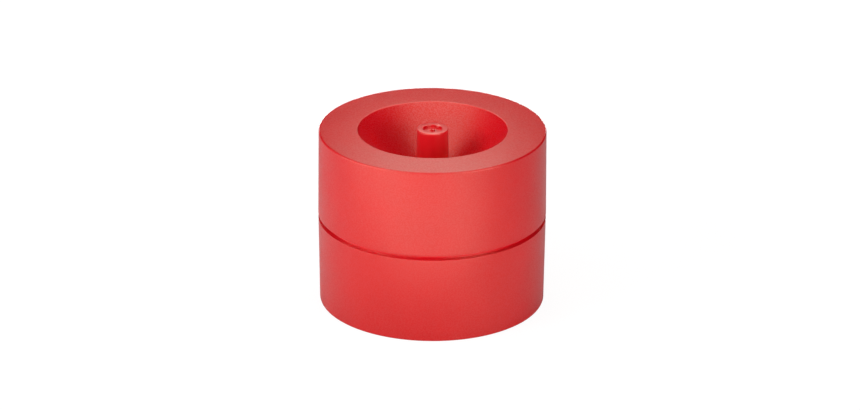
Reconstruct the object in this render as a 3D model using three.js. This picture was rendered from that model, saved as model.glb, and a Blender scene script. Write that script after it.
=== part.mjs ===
// Desktop magnetic paper-clip dispenser: a two-part moulded plastic drum with a dished top.
// An upright post with a bar magnet inside it stands in the middle of the dish and holds the clips.
// Millimetres, +Z up. The origin is the centre of the circle that the drum stands on.
import * as THREE from 'three';

// Overall. The post stands a little above the rim of the shell.
const OVERALL_HEIGHT = 58;
const RIM_HEIGHT = 57.7;
const SHELL_SEGMENTS = 72;
const POST_SEGMENTS = 48;
const ARC_STEPS = 3;

// Lower cup
const BASE_RADIUS = 36.07;
const BASE_FILLET = 0.5;
const CUP_EDGE_RADIUS = 36.46;
const CUP_EDGE_HEIGHT = 28.1;
const CUP_EDGE_FILLET = 0.25;
const CUP_FLOOR_TOP = 2.8;
const CUP_FLOOR_FILLET = 2;
const CHAMBER_FLOOR_RADIUS = 32.5;
const FOOT_RECESS = 0.6;
const FOOT_RING_INNER_RADIUS = 31;

// Neck of the lower cup, seen as the dark groove between the two halves
const NECK_RADIUS = 34.8;
const NECK_INNER_RADIUS = 32.8;
const NECK_TOP = 35;

// Upper shell
const SKIRT_EDGE_RADIUS = 36.5;
const SKIRT_EDGE_HEIGHT = 29.6;
const SKIRT_EDGE_FILLET = 0.25;
const SKIRT_BORE_RADIUS = 35.1;
const SKIRT_INNER_RADIUS = 34;
const TOP_RADIUS = 36.26;
const TOP_FILLET = 0.55;
const TOP_THICKNESS = 2.2;

// Dish in the upper shell
const DISH_RIM_RADIUS = 23.9;
const DISH_RIM_FILLET = 0.6;
const DISH_SLOPE = THREE.MathUtils.degToRad(48);
const DISH_DEPTH = 16.5;
const DISH_FLOOR_FILLET = 2.5;
const DISH_WALL = 2;
const POST_HOLE_RADIUS = 5.7;

// Post, pressed up through the hole in the dish floor
const POST_TOP_RADIUS = 5;
const POST_DRAFT = THREE.MathUtils.degToRad(1.3);
const POST_EDGE_FILLET = 0.3;
const POST_BORE_RADIUS = 3.2;
const POST_BORE_TOP = 55.2;
const POST_FLANGE_RADIUS = 8;
const POST_FLANGE_THICKNESS = 1.6;
const GATE_WELL_RADIUS = 3.2;
const GATE_WELL_DEPTH = 0.9;
const GATE_MARK_RADIUS = 0.7;
const GATE_MARK_HEIGHT = 0.8;

// Magnet and the plug under it
const MAGNET_RADIUS = 3;
const MAGNET_LENGTH = 15;
const PLUG_STEM_RADIUS = 3.1;
const PLUG_HEAD_RADIUS = 4.6;
const PLUG_HEAD_THICKNESS = 1;

const DISH_FLOOR_TOP = RIM_HEIGHT - DISH_DEPTH;
const DISH_FLOOR_BOTTOM = DISH_FLOOR_TOP - DISH_WALL;
const POST_BOTTOM = DISH_FLOOR_BOTTOM - POST_FLANGE_THICKNESS;
const MAGNET_BOTTOM = POST_BORE_TOP - MAGNET_LENGTH;

// Moulded red plastic with a fine matt grain
function redGrainedPlastic() {
  return new THREE.MeshStandardMaterial({ color: 0xcf2a2b, roughness: 0.5, metalness: 0 });
}

// The same red plastic, smooth
function redSmoothPlastic() {
  return new THREE.MeshStandardMaterial({ color: 0xc4161f, roughness: 0.35, metalness: 0 });
}

// Bright plated magnet
function platedMagnetMetal() {
  return new THREE.MeshStandardMaterial({ color: 0xb9bcc0, roughness: 0.25, metalness: 1 });
}

// Black plastic of the plug, which is out of sight
function blackPlastic() {
  return new THREE.MeshStandardMaterial({ color: 0x1c1c1e, roughness: 0.55, metalness: 0 });
}

// Rounds the corner of a profile of [radius, height] pairs with an arc that touches both sides.
function roundedCorner(before, corner, after, radius) {
  const toBefore = new THREE.Vector2(before[0] - corner[0], before[1] - corner[1]).normalize();
  const toAfter = new THREE.Vector2(after[0] - corner[0], after[1] - corner[1]).normalize();
  const halfAngle = Math.acos(THREE.MathUtils.clamp(toBefore.dot(toAfter), -1, 1)) / 2;
  const middle = toBefore.clone().add(toAfter).normalize();
  const centre = new THREE.Vector2(corner[0], corner[1]).addScaledVector(middle, radius / Math.sin(halfAngle));
  const reach = radius / Math.tan(halfAngle);
  const start = new THREE.Vector2(corner[0], corner[1]).addScaledVector(toBefore, reach).sub(centre);
  const end = new THREE.Vector2(corner[0], corner[1]).addScaledVector(toAfter, reach).sub(centre);
  const turn = Math.atan2(start.cross(end), start.dot(end));
  const arc = [];
  for (let step = 0; step <= ARC_STEPS; step += 1) {
    const point = start.clone().rotateAround(new THREE.Vector2(0, 0), (turn * step) / ARC_STEPS).add(centre);
    arc.push([point.x, point.y]);
  }
  return arc;
}

// Turns a profile of [radius, height, fillet] corners round the Z axis. A fillet of 0 or none is sharp.
// The corners run upwards along the outside of the solid.
function turnedSolid(corners, segments) {
  const profile = [];
  for (let index = 0; index < corners.length; index += 1) {
    const corner = corners[index];
    if (corner[2]) {
      const before = corners[(index + corners.length - 1) % corners.length];
      const after = corners[(index + 1) % corners.length];
      profile.push(...roundedCorner(before, corner, after, corner[2]));
    } else {
      profile.push([corner[0], corner[1]]);
    }
  }
  if (profile[0][0] > 0) {
    profile.push(profile[0]);
  }
  const points = profile.map(([radius, height]) => new THREE.Vector2(radius, height));
  const geometry = new THREE.LatheGeometry(points, segments);
  geometry.rotateX(Math.PI / 2);
  return geometry;
}

function namedMesh(name, geometry, material) {
  const mesh = new THREE.Mesh(geometry, material);
  mesh.name = name;
  return mesh;
}

// Open cup with a drafted wall, a foot ring under it and a stepped-in neck at its mouth
function lowerCup() {
  const corners = [
    [0, FOOT_RECESS],
    [FOOT_RING_INNER_RADIUS - FOOT_RECESS, FOOT_RECESS],
    [FOOT_RING_INNER_RADIUS, 0],
    [BASE_RADIUS, 0, BASE_FILLET],
    [CUP_EDGE_RADIUS, CUP_EDGE_HEIGHT, CUP_EDGE_FILLET],
    [NECK_RADIUS, CUP_EDGE_HEIGHT],
    [NECK_RADIUS, NECK_TOP],
    [NECK_INNER_RADIUS, NECK_TOP],
    [CHAMBER_FLOOR_RADIUS, CUP_FLOOR_TOP, CUP_FLOOR_FILLET],
    [0, CUP_FLOOR_TOP],
  ];
  return namedMesh('lower_cup', turnedSolid(corners, SHELL_SEGMENTS), redGrainedPlastic());
}

// Skirt, flat rim and conical dish in one moulding. The shoulder in the skirt stands on the neck.
function upperShell() {
  const dishRun = DISH_DEPTH / Math.tan(DISH_SLOPE);
  const undersideShift = DISH_WALL / Math.sin(DISH_SLOPE);
  const undersideRadius = (depth) => DISH_RIM_RADIUS + undersideShift - depth / Math.tan(DISH_SLOPE);
  const corners = [
    [SKIRT_BORE_RADIUS, SKIRT_EDGE_HEIGHT],
    [SKIRT_EDGE_RADIUS, SKIRT_EDGE_HEIGHT, SKIRT_EDGE_FILLET],
    [TOP_RADIUS, RIM_HEIGHT, TOP_FILLET],
    [DISH_RIM_RADIUS, RIM_HEIGHT, DISH_RIM_FILLET],
    [DISH_RIM_RADIUS - dishRun, DISH_FLOOR_TOP, DISH_FLOOR_FILLET],
    [POST_HOLE_RADIUS, DISH_FLOOR_TOP],
    [POST_HOLE_RADIUS, DISH_FLOOR_BOTTOM],
    [undersideRadius(DISH_DEPTH + DISH_WALL), DISH_FLOOR_BOTTOM],
    [undersideRadius(TOP_THICKNESS), RIM_HEIGHT - TOP_THICKNESS],
    [SKIRT_INNER_RADIUS, RIM_HEIGHT - TOP_THICKNESS],
    [SKIRT_INNER_RADIUS, NECK_TOP],
    [SKIRT_BORE_RADIUS, NECK_TOP],
  ];
  return namedMesh('upper_shell', turnedSolid(corners, SHELL_SEGMENTS), redGrainedPlastic());
}

// Hollow post with a flange at its foot and a shallow moulding-gate well in its top
function magnetPost() {
  const radiusAt = (height) => POST_TOP_RADIUS + (OVERALL_HEIGHT - height) * Math.tan(POST_DRAFT);
  const wellFloor = OVERALL_HEIGHT - GATE_WELL_DEPTH;
  const corners = [
    [POST_BORE_RADIUS, POST_BOTTOM],
    [POST_FLANGE_RADIUS, POST_BOTTOM],
    [POST_FLANGE_RADIUS, DISH_FLOOR_BOTTOM],
    [radiusAt(DISH_FLOOR_BOTTOM), DISH_FLOOR_BOTTOM],
    [POST_TOP_RADIUS, OVERALL_HEIGHT, POST_EDGE_FILLET],
    [GATE_WELL_RADIUS + GATE_WELL_DEPTH / 3, OVERALL_HEIGHT],
    [GATE_WELL_RADIUS, wellFloor],
    [GATE_MARK_RADIUS, wellFloor],
    [GATE_MARK_RADIUS / 2, wellFloor + GATE_MARK_HEIGHT],
    [0, wellFloor + GATE_MARK_HEIGHT],
    [0, POST_BORE_TOP],
    [POST_BORE_RADIUS, POST_BORE_TOP],
  ];
  return namedMesh('magnet_post', turnedSolid(corners, POST_SEGMENTS), redSmoothPlastic());
}

// Round bar magnet that fills the bore of the post up to its end
function magnet() {
  const geometry = new THREE.CylinderGeometry(MAGNET_RADIUS, MAGNET_RADIUS, MAGNET_LENGTH, POST_SEGMENTS);
  geometry.rotateX(Math.PI / 2);
  const mesh = namedMesh('magnet', geometry, platedMagnetMetal());
  mesh.position.z = MAGNET_BOTTOM + MAGNET_LENGTH / 2;
  return mesh;
}

// Headed plug that closes the bore under the magnet
function magnetPlug() {
  const corners = [
    [0, POST_BOTTOM - PLUG_HEAD_THICKNESS],
    [PLUG_HEAD_RADIUS, POST_BOTTOM - PLUG_HEAD_THICKNESS],
    [PLUG_HEAD_RADIUS, POST_BOTTOM],
    [PLUG_STEM_RADIUS, POST_BOTTOM],
    [PLUG_STEM_RADIUS, MAGNET_BOTTOM],
    [0, MAGNET_BOTTOM],
  ];
  return namedMesh('magnet_plug', turnedSolid(corners, POST_SEGMENTS), blackPlastic());
}

// Everything that lifts off the lower cup together
function upperAssembly() {
  const group = new THREE.Group();
  group.name = 'upper';
  group.add(upperShell(), magnetPost(), magnet(), magnetPlug());
  return group;
}

const dispenser = new THREE.Group();
dispenser.name = 'paper_clip_dispenser';
dispenser.add(lowerCup(), upperAssembly());

export default dispenser;
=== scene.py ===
"""Desktop magnetic paper-clip dispenser: fine surfaces, moulded plastic and a studio round the
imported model."""
import math

import bmesh
import bpy
from mathutils import Matrix, Vector, noise


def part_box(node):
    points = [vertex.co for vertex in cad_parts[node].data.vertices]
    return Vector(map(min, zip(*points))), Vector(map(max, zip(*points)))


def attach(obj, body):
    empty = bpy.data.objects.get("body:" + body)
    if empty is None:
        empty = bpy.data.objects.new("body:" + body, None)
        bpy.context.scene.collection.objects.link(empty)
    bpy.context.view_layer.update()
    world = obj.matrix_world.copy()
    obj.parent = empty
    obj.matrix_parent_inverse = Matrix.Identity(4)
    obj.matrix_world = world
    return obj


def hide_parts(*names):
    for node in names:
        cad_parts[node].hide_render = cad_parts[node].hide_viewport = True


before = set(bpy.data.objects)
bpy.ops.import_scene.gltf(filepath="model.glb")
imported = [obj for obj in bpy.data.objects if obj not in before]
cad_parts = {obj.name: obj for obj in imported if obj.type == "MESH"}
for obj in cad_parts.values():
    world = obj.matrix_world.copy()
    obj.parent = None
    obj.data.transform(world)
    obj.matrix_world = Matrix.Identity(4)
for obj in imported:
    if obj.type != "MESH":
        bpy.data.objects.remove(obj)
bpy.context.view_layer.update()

MM = 0.001


def height_mm(node, corner):
    """Height in millimetres of a CAD node's lowest (0) or highest (1) corner."""
    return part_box(node)[corner][2] / MM


def radius_mm(node):
    """Largest radius in millimetres of a CAD node, which is round and centred on the Z axis."""
    low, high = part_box(node)
    return (high[0] - low[0]) / 2 / MM


# Heights and radii that the CAD boxes give
TOP = height_mm("upper_shell", 1)
SKIRT_EDGE = height_mm("upper_shell", 0)
SKIRT_RADIUS = radius_mm("upper_shell")
CUP_RADIUS = radius_mm("lower_cup")
NECK_TOP = height_mm("lower_cup", 1)
POST_BOTTOM = height_mm("magnet_post", 0)
POST_TOP = height_mm("magnet_post", 1)
FLANGE_RADIUS = radius_mm("magnet_post")
MAGNET_TOP = height_mm("magnet", 1)
MAGNET_BOTTOM = height_mm("magnet", 0)
MAGNET_RADIUS = radius_mm("magnet")
PLUG_BOTTOM = height_mm("magnet_plug", 0)
PLUG_RADIUS = radius_mm("magnet_plug")

# Other sizes in millimetres, as in the CAD model
BASE_RADIUS = 36.07
BASE_FILLET = 0.5
CUP_EDGE = 28.1
CUP_FLOOR_TOP = 2.8
CHAMBER_FLOOR_RADIUS = 32.5
CHAMBER_FILLET = 2.0
FOOT_RECESS = 0.6
FOOT_RING_INNER_RADIUS = 31.0
NECK_RADIUS = 34.8
NECK_INNER_RADIUS = 32.8
SKIRT_BORE_RADIUS = 35.1
SKIRT_INNER_RADIUS = 34.0
TOP_RADIUS = 36.26
TOP_FILLET = 0.55
TOP_THICKNESS = 2.2
DISH_RIM_RADIUS = 23.9
DISH_RIM_FILLET = 0.6
DISH_SLOPE = math.radians(48)
DISH_DEPTH = 16.5
DISH_FLOOR_FILLET = 2.5
DISH_WALL = 2.0
POST_TOP_RADIUS = 5.0
POST_DRAFT = math.radians(1.3)
POST_FILLET = 0.3
POST_BORE_RADIUS = 3.2
PLUG_STEM_RADIUS = 3.1

# Sizes in millimetres that differ from the CAD model's, which has 0.25, 5.7, 3.2 to 3.5 and 0.9
EDGE_FILLET = 0.1
POST_HOLE_RADIUS = 5.5
WELL_RADIUS = 3.15
WELL_DEPTH = 0.85

# Fillets in millimetres where the CAD model has sharp corners
FOOT_FILLET = 0.2
NECK_ROOT_FILLET = 0.12
NECK_FILLET = 0.3
UNDERSIDE_FILLET = 1.0
SHOULDER_FILLET = 0.2
MAGNET_FILLET = 0.3
PLUG_HEAD_FILLET = 0.3
PLUG_BEARING_FILLET = 0.15
PLUG_TIP_FILLET = 0.2

# Steps round the axis, and in each fillet
SEGMENTS = 256
POST_SEGMENTS = 192
BAR_SEGMENTS = 96
ARC_STEPS = 7
# Distance in millimetres from a fillet's ends to the points that keep the faces beside it flat
HOLD = 0.12
# Vertices closer than this, in metres, become one
MERGE_DISTANCE = 1e-7

# Numbers of a red piece's materials, and of the only one that the magnet and the plug have
GRAINED, SMOOTH, COARSE = 0, 1, 2
ONLY = 0


# ---------------------------------------------------------------- meshes

def fillet(before, corner, after, radius):
    """Points of the arc that rounds a profile corner, with a holding point outside each end."""
    corner = Vector(corner)
    to_before = (Vector(before) - corner).normalized()
    to_after = (Vector(after) - corner).normalized()
    half = math.acos(max(-1.0, min(1.0, to_before.dot(to_after)))) / 2
    centre = corner + (to_before + to_after).normalized() * radius / math.sin(half)
    reach = radius / math.tan(half)
    start = corner + to_before * reach - centre
    end = corner + to_after * reach - centre
    turn = math.atan2(start.x * end.y - start.y * end.x, start.dot(end))
    points = [centre + start + to_before * HOLD]
    for step in range(ARC_STEPS + 1):
        angle = turn * step / ARC_STEPS
        cos, sin = math.cos(angle), math.sin(angle)
        spoke = Vector((start.x * cos - start.y * sin, start.x * sin + start.y * cos))
        points.append(centre + spoke)
    points.append(centre + end + to_after * HOLD)
    return points


def profile(corners):
    """Rounds a profile's corners (radius, height, fillet, finish). A point keeps its finish."""
    points = []
    for number, (radius, height, rounding, finish) in enumerate(corners):
        if rounding:
            before = corners[number - 1][:2]
            after = corners[(number + 1) % len(corners)][:2]
            arc = fillet(before, (radius, height), after, rounding)
            points += [(point, finish) for point in arc]
        else:
            points.append((Vector((radius, height)), finish))
    return points


def add_vertex(bm, radius, angle, height):
    """Vertex at an angle round the Z axis, from a radius and a height in millimetres."""
    return bm.verts.new((radius * math.cos(angle) * MM, radius * math.sin(angle) * MM, height * MM))


def finish_mesh(name, bm, materials):
    """Makes a smooth-shaded object of a bmesh whose faces hold material numbers."""
    bmesh.ops.remove_doubles(bm, verts=bm.verts, dist=MERGE_DISTANCE)
    bmesh.ops.recalc_face_normals(bm, faces=bm.faces)
    for face in bm.faces:
        face.smooth = True
    mesh = bpy.data.meshes.new(name)
    bm.to_mesh(mesh)
    bm.free()
    obj = bpy.data.objects.new(name, mesh)
    bpy.context.scene.collection.objects.link(obj)
    for material in materials:
        mesh.materials.append(material)
    return obj


def turned(name, corners, materials, segments=SEGMENTS):
    """Turns a profile round the Z axis. A profile that starts off the axis closes on itself.
    A face takes the finish of the second of the two points that it lies between."""
    points = profile(corners)
    closed = points[0][0].x > 0
    bm = bmesh.new()
    rings = []
    for point, _ in points:
        if point.x == 0:
            rings.append([bm.verts.new((0, 0, point.y * MM))] * segments)
            continue
        ring = []
        for step in range(segments):
            ring.append(add_vertex(bm, point.x, 2 * math.pi * step / segments, point.y))
        rings.append(ring)
    count = len(rings)
    for index in range(count if closed else count - 1):
        following = (index + 1) % count
        first, second = rings[index], rings[following]
        for step in range(segments):
            after = (step + 1) % segments
            vertices = []
            for vertex in (first[step], first[after], second[after], second[step]):
                if vertex not in vertices:
                    vertices.append(vertex)
            if len(vertices) > 2:
                face = bm.faces.new(vertices)
                face.material_index = points[following][1]
    return finish_mesh(name, bm, materials)


# ---------------------------------------------------------------- post

# The moulding gate leaves the post's top uneven. Sizes are in millimetres and angles in degrees,
# counted from +X towards +Y, so that the front is at -90.

# The gate mark, a pip with a crater in it: radius, and rise above the well's floor
GATE_MARK = (
    (0.08, 0.36), (0.28, 0.37), (0.4, 0.44), (0.45, 0.62), (0.5, 0.75),
    (0.59, 0.75), (0.64, 0.66), (0.67, 0.35), (0.7, 0.12), (0.78, 0.03),
)
WELL_FLOOR_RADII = (0.95, 1.4, 1.8)
# The well's wall: distance in from its edge, rise above its floor, how far the swelling goes in
WELL_WALL = (
    (0.3, 0, 0), (0.16, 0.01, 0), (0.09, 0.06, 0), (0.07, 0.14, 0),
    (0.07, 0.2, 0.05), (0.07, 0.5, 0.4), (0.07, 0.7, 0.5), (0.06, 0.77, 0.5),
)
# The lip round the well: distance out from its edge, drop below the top, and the swelling again
WELL_LIP = ((-0.02, 0.03, 0.5), (0.03, 0, 0.45), (0.1, 0, 0.35), (0.2, 0, 0.2), (0.4, 0, 0))
# Depths of the rings on the post's side below its top
SIDE_DEPTHS = (0.9, 2, 5, 8, 12)

# The swelling takes the well's edge inward: its middle and width. SAG is how far the edge sags for
# each millimetre that it goes in.
SWELLING_ANGLE = 53
SWELLING_WIDTH = 9
SAG = 0.35
# Dips of the post's edge, of which the lip takes a share, and places where the edge is more worn:
# size, middle angle, width
EDGE_DIPS = ((0.1, -86, 13), (0.05, -140, 18))
LIP_SHARE = 0.2
EDGE_WEAR = ((0.1, -120, 16), (0.08, -62, 9))
# The edge's rounding as a share of POST_FILLET: its mean, and how much more it is at the front
ROUNDING_MEAN = 0.7
ROUNDING_FRONT = 0.3
# Noise round the axis: the radius and height at which it is read. Its strength is in millimetres
# for the well's radius, and a share of the gate mark's own size.
WELL_NOISE = (1.4, 3.1)
WELL_UNEVENNESS = 0.12
GATE_NOISE = (1.2, 7.7)
GATE_UNEVENNESS = 0.12


def bump_at(angle, middle, width):
    """Bell curve round the axis: 1 at the middle, in degrees."""
    gap = (math.degrees(angle) - middle + 180) % 360 - 180
    return math.exp(-0.5 * (gap / width) ** 2)


def bumps(angle, rows, start=0.0):
    """Start value plus a bell curve for each row (size, middle, width)."""
    return sum((size * bump_at(angle, middle, width) for size, middle, width in rows), start)


def noise_round(angle, radius, height):
    """Smooth noise that meets itself after a full turn."""
    return noise.noise(Vector((radius * math.cos(angle), radius * math.sin(angle), height)))


def post_rings():
    """Rings of the post from the middle of its top to the edge of its bore at the foot. Each is a
    function of the angle that gives (radius, height)."""
    floor_height = POST_TOP - WELL_DEPTH
    foot = TOP - DISH_DEPTH - DISH_WALL

    def well(angle):
        return WELL_RADIUS + WELL_UNEVENNESS * noise_round(angle, *WELL_NOISE)

    def swelling(angle):
        return bump_at(angle, SWELLING_ANGLE, SWELLING_WIDTH)

    def dip(angle):
        return -bumps(angle, EDGE_DIPS)

    def on_gate(radius, rise):
        def ring(angle):
            uneven = 1 + GATE_UNEVENNESS * noise_round(angle, *GATE_NOISE)
            return radius * uneven, floor_height + rise * uneven
        return ring

    def in_well(inset, rise, swollen):
        return lambda angle: (well(angle) - inset - swollen * swelling(angle),
                              floor_height + rise - SAG * swollen * swelling(angle))

    def on_lip(outset, drop, swollen):
        return lambda angle: (well(angle) + outset - swollen * swelling(angle),
                              POST_TOP - drop + dip(angle) * LIP_SHARE
                              - SAG * swollen * swelling(angle))

    def on_edge(turn):
        def ring(angle):
            even = POST_FILLET * (ROUNDING_MEAN - ROUNDING_FRONT * math.sin(angle))
            rounding = bumps(angle, EDGE_WEAR, even)
            radius = POST_TOP_RADIUS - rounding + rounding * math.sin(turn)
            return radius, POST_TOP + dip(angle) - rounding * (1 - math.cos(turn))
        return ring

    def on_side(height):
        return plain(POST_TOP_RADIUS + (POST_TOP - height) * math.tan(POST_DRAFT), height)

    def plain(radius, height):
        return lambda angle: (radius, height)

    flange_and_bore = (
        (FLANGE_RADIUS - HOLD, foot),
        (FLANGE_RADIUS, foot - HOLD),
        (FLANGE_RADIUS, POST_BOTTOM + HOLD),
        (FLANGE_RADIUS - HOLD, POST_BOTTOM),
        (POST_BORE_RADIUS + HOLD, POST_BOTTOM),
        (POST_BORE_RADIUS, POST_BOTTOM + HOLD),
        (POST_BORE_RADIUS, MAGNET_TOP - HOLD),
        (POST_BORE_RADIUS, MAGNET_TOP),
        (POST_BORE_RADIUS - HOLD, MAGNET_TOP),
    )
    rings = [on_gate(*row) for row in GATE_MARK]
    rings += [plain(radius, floor_height) for radius in WELL_FLOOR_RADII]
    rings += [in_well(*row) for row in WELL_WALL]
    rings += [on_lip(*row) for row in WELL_LIP]
    rings += [on_edge(math.pi / 2 * step / ARC_STEPS) for step in range(ARC_STEPS + 1)]
    rings += [on_side(POST_TOP - depth) for depth in SIDE_DEPTHS]
    rings += [on_side(foot + HOLD), on_side(foot)]
    rings += [plain(*row) for row in flange_and_bore]
    return rings


def magnet_post(material):
    """Closed surface through the post's rings, from the gate mark on top to the end of the bore."""
    bm = bmesh.new()
    rings = []
    for ring_at in post_rings():
        ring = []
        for step in range(POST_SEGMENTS):
            angle = 2 * math.pi * step / POST_SEGMENTS
            radius, height = ring_at(angle)
            ring.append(add_vertex(bm, radius, angle, height))
        rings.append(ring)
    middle_height = sum(vertex.co.z for vertex in rings[0]) / POST_SEGMENTS
    top_middle = bm.verts.new((0, 0, middle_height))
    bore_middle = bm.verts.new((0, 0, MAGNET_TOP * MM))
    for step in range(POST_SEGMENTS):
        after = (step + 1) % POST_SEGMENTS
        bm.faces.new((top_middle, rings[0][step], rings[0][after]))
        bm.faces.new((bore_middle, rings[-1][after], rings[-1][step]))
        for inner, outer in zip(rings, rings[1:]):
            bm.faces.new((inner[step], outer[step], outer[after], inner[after]))
    return finish_mesh("post_body", bm, [material])


# ---------------------------------------------------------------- other pieces

def lower_cup(grained, smooth):
    """Cup with a foot ring under it, grained outside and smooth from the neck inward."""
    corners = [
        (0, FOOT_RECESS, 0, GRAINED),
        (FOOT_RING_INNER_RADIUS - FOOT_RECESS, FOOT_RECESS, FOOT_FILLET, GRAINED),
        (FOOT_RING_INNER_RADIUS, 0, FOOT_FILLET, GRAINED),
        (BASE_RADIUS, 0, BASE_FILLET, GRAINED),
        (CUP_RADIUS, CUP_EDGE, EDGE_FILLET, GRAINED),
        (NECK_RADIUS, CUP_EDGE, NECK_ROOT_FILLET, SMOOTH),
        (NECK_RADIUS, NECK_TOP, NECK_FILLET, SMOOTH),
        (NECK_INNER_RADIUS, NECK_TOP, NECK_FILLET, SMOOTH),
        (CHAMBER_FLOOR_RADIUS, CUP_FLOOR_TOP, CHAMBER_FILLET, SMOOTH),
        (0, CUP_FLOOR_TOP, 0, SMOOTH),
    ]
    return turned("cup_body", corners, [grained, smooth])


def upper_shell(grained, smooth, coarse):
    """Skirt, rim and dish in one: grained outside, coarser in the dish and smooth underneath."""
    run = DISH_DEPTH / math.tan(DISH_SLOPE)
    shift = DISH_WALL / math.sin(DISH_SLOPE)
    dish_floor = TOP - DISH_DEPTH
    underside = dish_floor - DISH_WALL
    ceiling = TOP - TOP_THICKNESS

    def under_dish(depth):
        return DISH_RIM_RADIUS + shift - depth / math.tan(DISH_SLOPE)

    corners = [
        (SKIRT_BORE_RADIUS, SKIRT_EDGE, EDGE_FILLET, SMOOTH),
        (SKIRT_RADIUS, SKIRT_EDGE, EDGE_FILLET, GRAINED),
        (TOP_RADIUS, TOP, TOP_FILLET, GRAINED),
        (DISH_RIM_RADIUS, TOP, DISH_RIM_FILLET, GRAINED),
        (DISH_RIM_RADIUS - run, dish_floor, DISH_FLOOR_FILLET, COARSE),
        (POST_HOLE_RADIUS, dish_floor, 0, COARSE),
        (POST_HOLE_RADIUS, underside, 0, SMOOTH),
        (under_dish(DISH_DEPTH + DISH_WALL), underside, UNDERSIDE_FILLET, SMOOTH),
        (under_dish(TOP_THICKNESS), ceiling, UNDERSIDE_FILLET, SMOOTH),
        (SKIRT_INNER_RADIUS, ceiling, UNDERSIDE_FILLET, SMOOTH),
        (SKIRT_INNER_RADIUS, NECK_TOP, SHOULDER_FILLET, SMOOTH),
        (SKIRT_BORE_RADIUS, NECK_TOP, SHOULDER_FILLET, SMOOTH),
    ]
    return turned("shell_body", corners, [grained, smooth, coarse])


def magnet_bar(material):
    """Round bar magnet in the bore of the post."""
    corners = [
        (0, MAGNET_BOTTOM, 0, ONLY),
        (MAGNET_RADIUS, MAGNET_BOTTOM, MAGNET_FILLET, ONLY),
        (MAGNET_RADIUS, MAGNET_TOP, MAGNET_FILLET, ONLY),
        (0, MAGNET_TOP, 0, ONLY),
    ]
    return turned("magnet_bar", corners, [material], BAR_SEGMENTS)


def post_plug(material):
    """Headed plug that closes the bore under the magnet."""
    corners = [
        (0, PLUG_BOTTOM, 0, ONLY),
        (PLUG_RADIUS, PLUG_BOTTOM, PLUG_HEAD_FILLET, ONLY),
        (PLUG_RADIUS, POST_BOTTOM, PLUG_BEARING_FILLET, ONLY),
        (PLUG_STEM_RADIUS, POST_BOTTOM, 0, ONLY),
        (PLUG_STEM_RADIUS, MAGNET_BOTTOM, PLUG_TIP_FILLET, ONLY),
        (0, MAGNET_BOTTOM, 0, ONLY),
    ]
    return turned("post_plug", corners, [material], BAR_SEGMENTS)


# ---------------------------------------------------------------- materials

# The part of its range where a noise texture has most of its values
NOISE_LOW = 0.3
NOISE_HIGH = 0.7

# Reds of the walls and dish, of the neck and inner faces, and of the post. The neck's red is a
# lighter copy of the walls' red of the same plastic: painted light that makes the shaded groove at
# the neck come out bright. DEEPER is how much of them is left in the darkest clouds.
RED = (0.74, 0.0006, 0.01)
LIGHTENED_NECK_RED = (0.86, 0.001, 0.016)
POST_RED = (0.8, 0.0004, 0.012)
DEEPER = 0.946
SPECULAR_LEVEL = 0.7
SPECULAR_TINT = (1.0, 0.95, 0.66, 1.0)
MEAN_COAT = 0.5
GLOW_DEPTH = 0.001
GLOW_COLOURS = (1.0, 0.12, 0.08)

# Soft clouds that vary the colour and the roughness
CLOUD_SCALE = 60
CLOUD_DETAIL = 3
ROUGHNESS_CHANGE = 0.03
# Long shallow unevenness of a moulded wall. Bump distances are in metres.
SWEEP_SCALE = 90
SWEEP_DETAIL = 1
SWEEP_STRENGTH = 0.12
SWEEP_DISTANCE = 0.0004
# Spark-eroded grain, in two sizes, and the narrow range of it over which the gloss changes
GRAIN_SCALE = 2400
GRAIN_DETAIL = 1
GRAIN_ROUGHNESS = 0.6
GRAIN_DISTANCE = 0.0001
FINE_GRAIN_SCALE = 5000
FINE_GRAIN_DISTANCE = 0.00005
SPARKLE_LOW = 0.42
SPARKLE_HIGH = 0.58


def principled(name, colour, roughness, metallic=0.0):
    """Material with its shader, and the coordinates node for its textures."""
    material = bpy.data.materials.new(name)
    material.use_nodes = True
    tree = material.node_tree
    shader = tree.nodes["Principled BSDF"]
    shader.inputs["Base Color"].default_value = (*colour, 1)
    shader.inputs["Roughness"].default_value = roughness
    shader.inputs["Metallic"].default_value = metallic
    return material, shader, tree.nodes.new("ShaderNodeTexCoord")


def noise_value(tree, coordinates, scale, detail=2.0, rough=0.5):
    """Value of a noise texture that is fixed to the object."""
    texture = tree.nodes.new("ShaderNodeTexNoise")
    texture.inputs["Scale"].default_value = scale
    texture.inputs["Detail"].default_value = detail
    texture.inputs["Roughness"].default_value = rough
    tree.links.new(coordinates.outputs["Object"], texture.inputs["Vector"])
    return texture.outputs["Fac"]


def spread(tree, value, low, high, source_low=NOISE_LOW, source_high=NOISE_HIGH):
    """Maps a value to the range low to high."""
    ramp = tree.nodes.new("ShaderNodeMapRange")
    ramp.inputs["From Min"].default_value = source_low
    ramp.inputs["From Max"].default_value = source_high
    ramp.inputs["To Min"].default_value = low
    ramp.inputs["To Max"].default_value = high
    tree.links.new(value, ramp.inputs["Value"])
    return ramp.outputs["Result"]


def two_colours(tree, value, first, second):
    """Colour that runs from the first to the second as the value runs over a noise's range."""
    ramp = tree.nodes.new("ShaderNodeValToRGB")
    ramp.color_ramp.elements[0].position = NOISE_LOW
    ramp.color_ramp.elements[0].color = (*first, 1)
    ramp.color_ramp.elements[1].position = NOISE_HIGH
    ramp.color_ramp.elements[1].color = (*second, 1)
    tree.links.new(value, ramp.inputs["Fac"])
    return ramp.outputs["Color"]


def bumped(tree, value, strength, distance, below=None):
    """Normal that a value bumps, on top of the normal below it."""
    bump = tree.nodes.new("ShaderNodeBump")
    bump.inputs["Strength"].default_value = strength
    bump.inputs["Distance"].default_value = distance
    tree.links.new(value, bump.inputs["Height"])
    if below is not None:
        tree.links.new(below, bump.inputs["Normal"])
    return bump.outputs["Normal"]


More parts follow.
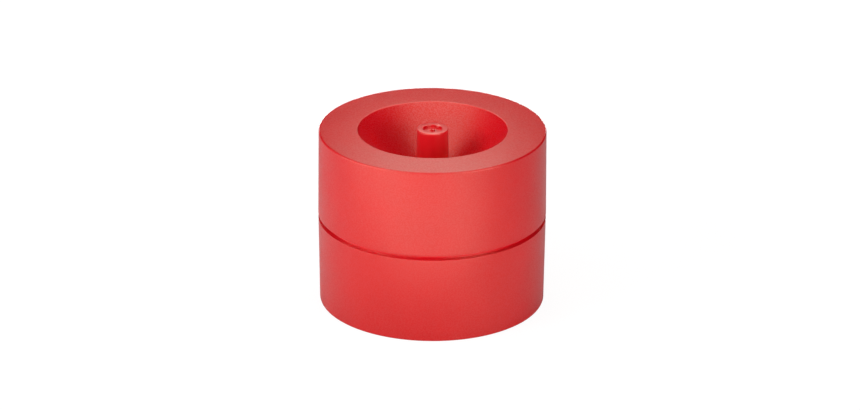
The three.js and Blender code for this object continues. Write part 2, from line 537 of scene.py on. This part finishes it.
def red_plastic(name, colour, roughness, grain=0.0, sparkle=0.0, glow=0.0):
    """Dense red moulded plastic. grain is the depth of its spark-eroded texture, sparkle how much
    the gloss differs from one speck of it to the next, and glow the share of light that scatters
    inside."""
    material, shader, coordinates = principled(name, colour, roughness)
    tree = material.node_tree
    cloud = noise_value(tree, coordinates, CLOUD_SCALE, CLOUD_DETAIL)
    deep = [DEEPER * channel for channel in colour]
    tree.links.new(two_colours(tree, cloud, deep, colour), shader.inputs["Base Color"])
    shader.inputs["Specular Tint"].default_value = SPECULAR_TINT
    shader.inputs["Specular IOR Level"].default_value = SPECULAR_LEVEL
    shader.inputs["Subsurface Weight"].default_value = glow
    shader.inputs["Subsurface Radius"].default_value = GLOW_COLOURS
    shader.inputs["Subsurface Scale"].default_value = GLOW_DEPTH
    shader.inputs["Coat Roughness"].default_value = roughness
    shader.inputs["Coat Weight"].default_value = MEAN_COAT
    sweep = noise_value(tree, coordinates, SWEEP_SCALE, SWEEP_DETAIL)
    normal = bumped(tree, sweep, SWEEP_STRENGTH, SWEEP_DISTANCE)
    if grain:
        pits = noise_value(tree, coordinates, GRAIN_SCALE, GRAIN_DETAIL, GRAIN_ROUGHNESS)
        fine = noise_value(tree, coordinates, FINE_GRAIN_SCALE, GRAIN_DETAIL)
        dullness = spread(tree, cloud, roughness - ROUGHNESS_CHANGE, roughness + ROUGHNESS_CHANGE)
        gloss = spread(tree, pits, MEAN_COAT - sparkle, MEAN_COAT + sparkle,
                       SPARKLE_LOW, SPARKLE_HIGH)
        tree.links.new(dullness, shader.inputs["Roughness"])
        tree.links.new(gloss, shader.inputs["Coat Weight"])
        normal = bumped(tree, pits, grain, GRAIN_DISTANCE, normal)
        normal = bumped(tree, fine, grain, FINE_GRAIN_DISTANCE, normal)
    tree.links.new(normal, shader.inputs["Normal"])
    tree.links.new(normal, shader.inputs["Coat Normal"])
    return material


def speckled(name, colour, roughness, low, high, scale, detail, strength, distance, metallic=0.0):
    """Plain material with fine bumped specks, whose roughness runs from low to high."""
    material, shader, coordinates = principled(name, colour, roughness, metallic)
    tree = material.node_tree
    specks = noise_value(tree, coordinates, scale, detail)
    tree.links.new(spread(tree, specks, low, high), shader.inputs["Roughness"])
    tree.links.new(bumped(tree, specks, strength, distance), shader.inputs["Normal"])
    return material


wall_red = red_plastic("red_grained", RED, 0.36, grain=0.28, sparkle=0.2, glow=0.2)
dish_red = red_plastic("red_grained_dish", RED, 0.36, grain=0.5, sparkle=0.5, glow=0.2)
# The neck's lighter red is painted light that brightens the shaded groove between the two parts.
smooth_lightened_red = red_plastic("red_smooth", LIGHTENED_NECK_RED, 0.32, glow=0.2)
post_red = red_plastic("red_smooth_post", POST_RED, 0.29)
plated_metal = speckled("plated_magnet", (0.72, 0.72, 0.74), 0.22, low=0.16, high=0.32,
                        scale=900, detail=3, strength=0.05, distance=0.00005, metallic=1.0)
black_plastic = speckled("black_plastic", (0.02, 0.02, 0.022), 0.5, low=0.45, high=0.6,
                         scale=3000, detail=2, strength=0.15, distance=0.0001)


# ---------------------------------------------------------------- assembly

def place(obj, body, node):
    """Puts a piece on its body, in the place of a CAD node."""
    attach(obj, body)
    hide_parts(node)


place(lower_cup(wall_red, smooth_lightened_red), "base", "lower_cup")
place(upper_shell(wall_red, smooth_lightened_red, dish_red), "upper", "upper_shell")
place(magnet_post(post_red), "upper", "magnet_post")
place(magnet_bar(plated_metal), "upper", "magnet")
place(post_plug(black_plastic), "upper", "magnet_plug")


# ---------------------------------------------------------------- studio

# Lengths here are in metres, apart from the lens and the sensor, which are in millimetres
FLOOR_RADIUS = 6
FLOOR_SEGMENTS = 96
FLOOR_GREY = (0.65, 0.65, 0.65)
FLOOR_GREYS = ((0.64, 0.64, 0.64), (0.66, 0.66, 0.66))
FLOOR_ROUGHNESS = 0.9
FLOOR_SPECULAR_LEVEL = 0.1
PAPER_SCALE = 30
# The floor's glow: its share of what the camera sees, its strength in the drum's shadow and far
# away, and the distances from the drum between which it grows
FLOOR_WHITENING = 0.8
FLOOR_WHITE = 1.16
FAR_WHITE = 1.28
SHADOW_RADIUS = 0.12
WHITE_RADIUS = 0.3

WHITE = (1, 1, 1)
WARM = (1, 0.93, 0.86)
LIGHT_AIM = 0.03
CARD_HEIGHT = 0.001
# Name, azimuth and elevation in degrees, distance, width, height, watts, colour. Azimuth 0 is the
# camera's side and grows towards +X. The two rear lights give the top its sheen, and back_strip,
# which stays below the rim, lights only the back.
SOFTBOXES = (
    ("key", -60, 30, 0.85, 0.35, 0.35, 2.65, WHITE),
    ("low_side", -90, 8, 0.85, 0.35, 0.35, 1.6, WHITE),
    ("low_left", -30, 8, 0.85, 0.35, 0.35, 1.05, WHITE),
    ("low_right", 36, 8, 0.85, 0.6, 0.6, 3.5, WHITE),
    ("right_fill", 55, 8, 0.85, 0.35, 0.35, 1.25, WHITE),
    ("overhead", 0, 89, 0.3, 0.3, 0.3, 0.52, WHITE),
    ("rear", 180, 45, 0.18, 0.06, 0.06, 0.03, WARM),
    ("rear_wide", 180, 42, 0.22, 0.12, 0.12, 0.011, WARM),
    ("back_strip", 180, 0, 0.6, 0.5, 0.05, 1.2, WHITE),
)
# Name, x, y, width, depth, watts
BOUNCE_CARDS = (
    ("card_left", -0.25, -0.2, 0.2, 0.3, 0.29),
    ("card_front", -0.05, -0.18, 0.3, 0.2, 0.18),
)

LENS = 180
SENSOR = 36
CLIP_START = 0.01
CAMERA_DISTANCE = 1.378
CAMERA_ELEVATION = math.radians(23.09)
CAMERA_ROLL = math.radians(0.29)
CAMERA_AIM = Vector((-0.0007, 0, 0.0315))


def camera_only(tree, value):
    """The value for what the camera sees directly, and 0 for all other light."""
    seen = tree.nodes.new("ShaderNodeLightPath")
    share = tree.nodes.new("ShaderNodeMath")
    share.operation = "MULTIPLY"
    share.inputs[1].default_value = value
    tree.links.new(seen.outputs["Is Camera Ray"], share.inputs[0])
    return share.outputs[0]


def floor():
    """Large pale disc under the drum. It glows for the camera only, more so away from the drum."""
    bm = bmesh.new()
    bmesh.ops.create_circle(bm, cap_ends=True, segments=FLOOR_SEGMENTS, radius=FLOOR_RADIUS)
    material, shader, coordinates = principled("studio_floor", FLOOR_GREY, FLOOR_ROUGHNESS)
    tree = material.node_tree
    paper = noise_value(tree, coordinates, PAPER_SCALE)
    tree.links.new(two_colours(tree, paper, *FLOOR_GREYS), shader.inputs["Base Color"])
    shader.inputs["Specular IOR Level"].default_value = FLOOR_SPECULAR_LEVEL
    glow = tree.nodes.new("ShaderNodeEmission")
    glow.inputs["Color"].default_value = (*WHITE, 1)
    distance = tree.nodes.new("ShaderNodeVectorMath")
    distance.operation = "LENGTH"
    tree.links.new(coordinates.outputs["Object"], distance.inputs[0])
    strength = spread(tree, distance.outputs["Value"], FLOOR_WHITE, FAR_WHITE,
                      SHADOW_RADIUS, WHITE_RADIUS)
    tree.links.new(strength, glow.inputs["Strength"])
    share = camera_only(tree, FLOOR_WHITENING)
    blend = tree.nodes.new("ShaderNodeMixShader")
    tree.links.new(share, blend.inputs["Fac"])
    tree.links.new(shader.outputs["BSDF"], blend.inputs[1])
    tree.links.new(glow.outputs["Emission"], blend.inputs[2])
    tree.links.new(blend.outputs["Shader"], tree.nodes["Material Output"].inputs["Surface"])
    finish_mesh("studio_floor", bm, [material])


def surroundings():
    """White backdrop that the camera sees above the floor's edge. It lights nothing."""
    world = bpy.data.worlds.new("studio")
    world.use_nodes = True
    tree = world.node_tree
    background = tree.nodes["Background"]
    background.inputs["Color"].default_value = (*WHITE, 1)
    tree.links.new(camera_only(tree, FAR_WHITE), background.inputs["Strength"])
    bpy.context.scene.world = world


def area_light(name, width, height, watts, colour):
    """Rectangular light that the camera doesn't see, still to be placed."""
    light = bpy.data.lights.new(name, "AREA")
    light.energy = watts
    light.color = colour
    light.shape = "RECTANGLE"
    light.size = width
    light.size_y = height
    obj = bpy.data.objects.new(name, light)
    bpy.context.scene.collection.objects.link(obj)
    obj.visible_camera = False
    return obj


def softbox(name, azimuth, elevation, distance, width, height, watts, colour):
    """Area light aimed at the drum."""
    azimuth, elevation = math.radians(azimuth), math.radians(elevation)
    direction = Vector((math.cos(elevation) * math.sin(azimuth),
                        -math.cos(elevation) * math.cos(azimuth), math.sin(elevation)))
    obj = area_light(name, width, height, watts, colour)
    obj.location = Vector((0, 0, LIGHT_AIM)) + direction * distance
    obj.rotation_euler = (-direction).to_track_quat("-Z", "Y").to_euler()


def bounce_card(name, x, y, width, depth, watts):
    """Area light that lies on the floor and shines up, as a white card does."""
    obj = area_light(name, width, depth, watts, WHITE)
    obj.location = (x, y, CARD_HEIGHT)
    obj.rotation_euler = (math.pi, 0, 0)


def camera():
    """Camera at the photo's viewing angle, rolled a little as the photo is."""
    data = bpy.data.cameras.new("camera")
    data.lens = LENS
    data.sensor_width = SENSOR
    data.clip_start = CLIP_START
    obj = bpy.data.objects.new("camera", data)
    bpy.context.scene.collection.objects.link(obj)
    forward = Vector((0, math.cos(CAMERA_ELEVATION), -math.sin(CAMERA_ELEVATION)))
    side = Vector((1, 0, 0))
    above = side.cross(forward)
    cos, sin = math.cos(CAMERA_ROLL), math.sin(CAMERA_ROLL)
    right = cos * side + sin * above
    up = cos * above - sin * side
    rotation = Matrix((right, up, -forward)).transposed().to_4x4()
    obj.matrix_world = Matrix.Translation(CAMERA_AIM - forward * CAMERA_DISTANCE) @ rotation
    bpy.context.scene.camera = obj


floor()
camera()
surroundings()
for row in SOFTBOXES:
    softbox(*row)
for row in BOUNCE_CARDS:
    bounce_card(*row)
bpy.context.scene.view_settings.view_transform = "Standard"
